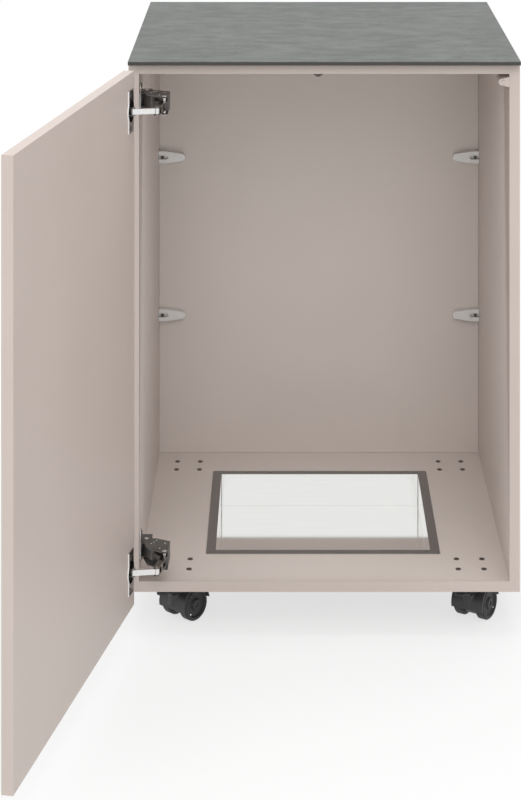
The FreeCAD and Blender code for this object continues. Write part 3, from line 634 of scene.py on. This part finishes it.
def cross_cutter(size, depth):
    """A cross that reaches from just above the origin down to a depth."""
    bpy.ops.object.select_all(action="DESELECT")
    bpy.ops.mesh.primitive_grid_add(x_subdivisions=GRID_CELLS, y_subdivisions=GRID_CELLS, size=size,
                                    location=(0, 0, CUTTER_PROUD))
    cutter = bpy.context.object
    bpy.ops.object.transform_apply(location=True)
    half_arm = size / GRID_CELLS / 2
    pick_faces(cutter, lambda face: min(abs(face.center.x), abs(face.center.y)) > half_arm)
    bpy.ops.mesh.delete(type="FACE")
    bpy.ops.mesh.select_all(action="SELECT")
    bpy.ops.mesh.extrude_region_move(TRANSFORM_OT_translate={"value": (0, 0, -depth - CUTTER_PROUD)})
    bpy.ops.mesh.select_all(action="SELECT")
    bpy.ops.mesh.normals_make_consistent(inside=False)
    bpy.ops.object.mode_set(mode="OBJECT")
    return cutter


def scatter(model, name, places):
    """Copies of a small model at places, each with its own mesh, joined into one object at the origin."""
    copies = []
    for place in places:
        copy = bpy.data.objects.new(name, model.data.copy())
        copy.data.transform(place)
        scene.collection.objects.link(copy)
        copies.append(copy)
    bpy.data.objects.remove(model)
    solo(copies[0])
    for copy in copies[1:]:
        copy.select_set(True)
    if len(copies) > 1:
        bpy.ops.object.join()
    return copies[0]


def facing(point, normal):
    """A place whose Z runs along a normal."""
    return Matrix.Translation(point) @ normal.to_track_quat("Z", "Y").to_matrix().to_4x4()


print("cross cutter ready")

# %% Cut the crosses in the castor bolts
BOLT_PITCH = 40 * MM
BOLT_CROSS_SIZE = 5 * MM
BOLT_CROSS_DEPTH = 0.8 * MM
BOLT_EDGE = 0.3 * MM
bolt_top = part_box("castor_bolts")[1].z
bolt_heads = []
for node in [node for node in SLOT_OF if node.startswith("castor_plate")]:
    plate = sum(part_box(node), Vector()) / 2
    for side, end in ((-1, -1), (-1, 1), (1, -1), (1, 1)):
        x = plate.x + side * BOLT_PITCH / 2
        y = plate.y + end * BOLT_PITCH / 2
        bolt_heads.append(Matrix.Translation(Vector((x, y, bolt_top))))
bolt_cutter = cross_cutter(BOLT_CROSS_SIZE, BOLT_CROSS_DEPTH)
crosses = scatter(bolt_cutter, "bolt_crosses", bolt_heads)
dress("castor_bolts", BOLT_EDGE, recesses=crosses)
print(len(bolt_heads), "bolt crosses cut")

# %% Cut the crosses in the connector screws
CONNECTOR_SCREW_RADIUS = 3 * MM
CONNECTOR_CROSS_SIZE = 4 * MM
CONNECTOR_CROSS_DEPTH = 1.5 * MM
CONNECTOR_SCREW_EDGE = 0.3 * MM
screw_low, screw_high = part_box("connector_screws")
toward_front = Vector((0, -1, 0))
cross_places = []
for x in (screw_low.x + CONNECTOR_SCREW_RADIUS, screw_high.x - CONNECTOR_SCREW_RADIUS):
    for z in (screw_low.z + CONNECTOR_SCREW_RADIUS, screw_high.z - CONNECTOR_SCREW_RADIUS):
        cross_places.append(facing(Vector((x, screw_low.y, z)), toward_front))
connector_cutter = cross_cutter(CONNECTOR_CROSS_SIZE, CONNECTOR_CROSS_DEPTH)
crosses = scatter(connector_cutter, "connector_crosses", cross_places)
dress("connector_screws", CONNECTOR_SCREW_EDGE, recesses=crosses)
print(len(cross_places), "connector crosses cut")

# %% [markdown]
# ## The other screws
# The screws of the hinge plates, the cups and the worktop are seen edge on or hardly at all, so their
# heads only get the soft edge that the rest of the hardware has.

# %% Dress the other screws
HEAD_EDGE = 0.5 * MM
plain_screws = ("hinge_plate_screws", "hinge_cup_screws", "worktop_screws")
for node in plain_screws:
    dress(node, HEAD_EDGE)
print(len(plain_screws), "sets of screws dressed")

# %% [markdown]
# ## Rivets and studs
# The hinge casings are riveted together, and each wheel has one bright stud in its dish. A rivet head is
# a low dome. A sphere squashed flat would do, but its rim would end in a thin wedge, so a round disc is
# extruded up in three rings that each draw in a little. It is modelled once at a size of one and scaled
# to its place.

# %% Define a rivet head
RIVET_SIDES = 24
RIVET_FOOT = 0.2
RIVET_RINGS = ((0.35, 1.0), (0.2, 0.82), (0.12, 0.6))
DOME_ANGLE = math.radians(60)


def rivet_head():
    """A dome of radius one and height a half, on the origin, with a short foot below it."""
    bpy.ops.object.select_all(action="DESELECT")
    bpy.ops.mesh.primitive_circle_add(vertices=RIVET_SIDES, radius=1, fill_type="NGON", location=(0, 0, 0))
    head = bpy.context.object
    bpy.ops.object.mode_set(mode="EDIT")
    bpy.ops.mesh.select_all(action="SELECT")
    bpy.ops.transform.translate(value=(0, 0, -RIVET_FOOT))
    for rise, draw in RIVET_RINGS:
        bpy.ops.mesh.extrude_region_move(TRANSFORM_OT_translate={"value": (0, 0, rise)})
        bpy.ops.transform.resize(value=(draw, draw, 1))
    bpy.ops.mesh.select_all(action="SELECT")
    bpy.ops.mesh.normals_make_consistent(inside=False)
    bpy.ops.object.mode_set(mode="OBJECT")
    bpy.ops.object.shade_smooth_by_angle(angle=DOME_ANGLE)
    return head


def set_rivets(name, places, body, slot):
    """Rivet heads at places, as one piece that rides on a body."""
    rivets = scatter(rivet_head(), name, places)
    rivets.data.materials.append(FINISHES[slot])
    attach(rivets, body)


print("rivet head ready")

# %% Rivet the hinge casings
CASING_HALF = 13.4 * MM
RIVET_SIZE = Matrix.Scale(1.3 * MM, 4)
ALONG_ROCKER = (12.3, 16.2, 19.9, 29.7, 42.7)
ACROSS_ROCKER = (10.6, 3.9, -2.7, 16.0, -0.5)
rocker_low, rocker_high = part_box("hinge_rockers")
hinge_middles = (rocker_low.z + CASING_HALF, rocker_high.z - CASING_HALF)
reach = PIVOT["crank_turn"] - PIVOT["rocker_turn"]
along = Vector((reach.x, reach.y, 0)).normalized()
across = Vector((-along.y, along.x, 0))
rivet_places = []
for middle_z in hinge_middles:
    for ahead, aside in zip(ALONG_ROCKER, ACROSS_ROCKER):
        spot = PIVOT["rocker_turn"] + along * ahead * MM + across * aside * MM
        for side in (-1, 1):
            spot.z = middle_z + side * CASING_HALF
            rivet_places.append(facing(spot, Vector((0, 0, side))) @ RIVET_SIZE)
set_rivets("casing_rivets", rivet_places, "hinge_rocker", "bright_metal")
print(len(rivet_places), "rivets")

# %% Set a stud in each wheel
DISH_REACH = 24 * MM
STUD_SIZE = Matrix.Scale(1.8 * MM, 4)
STUD_OFFSET = (-11, -13)
TURNED_STUD_OFFSETS = {"front_right": (14.5, -11.5)}
wheel_joints = [joint for joint in behaviour["joints"] if joint["name"].startswith("roll_")]
for joint in wheel_joints:
    corner, side = joint["name"].removeprefix("roll_").rsplit("_", 1)
    axis = Vector(joint["axis"])
    forward = Vector((axis.y, -axis.x, 0))
    outward = axis if side == "outer" else -axis
    ahead, rise = TURNED_STUD_OFFSETS.get(corner, STUD_OFFSET)
    in_dish = forward * ahead * MM + Vector((0, 0, rise)) * MM
    stud_place = facing(PIVOT[joint["name"]] + outward * DISH_REACH + in_dish, outward) @ STUD_SIZE
    set_rivets(f"{joint['child']}_stud", [stud_place], joint["child"], "bright_metal")
print(len(wheel_joints), "studs")

# %% [markdown]
# ## A screw under the top board
# Just behind the front edge of the top board hangs the head of a screw with a broad washer. Seen from the
# front it is only a dark dash, so the same dome serves for both, broad and flat for the washer and high
# for the head.

# %% Set the screw under the top board
RAIL_SCREW_SETBACK = 12 * MM
RAIL_SCREW_OFFSET = -9 * MM
WASHER_RADIUS = 8 * MM
WASHER_RISE = 10 * MM
SCREW_RADIUS = 4 * MM
SCREW_RISE = 13 * MM
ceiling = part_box("top_panel")[0].z
screw_place = Vector((cabinet_x + RAIL_SCREW_OFFSET, front_y + RAIL_SCREW_SETBACK, ceiling))
under_rail = facing(screw_place, Vector((0, 0, -1)))
washer = under_rail @ Matrix.Diagonal((WASHER_RADIUS, WASHER_RADIUS, WASHER_RISE, 1))
screw_head = under_rail @ Matrix.Diagonal((SCREW_RADIUS, SCREW_RADIUS, SCREW_RISE, 1))
set_rivets("rail_screw", [washer, screw_head], "cabinet", "dark_screw")
print("rail screw")
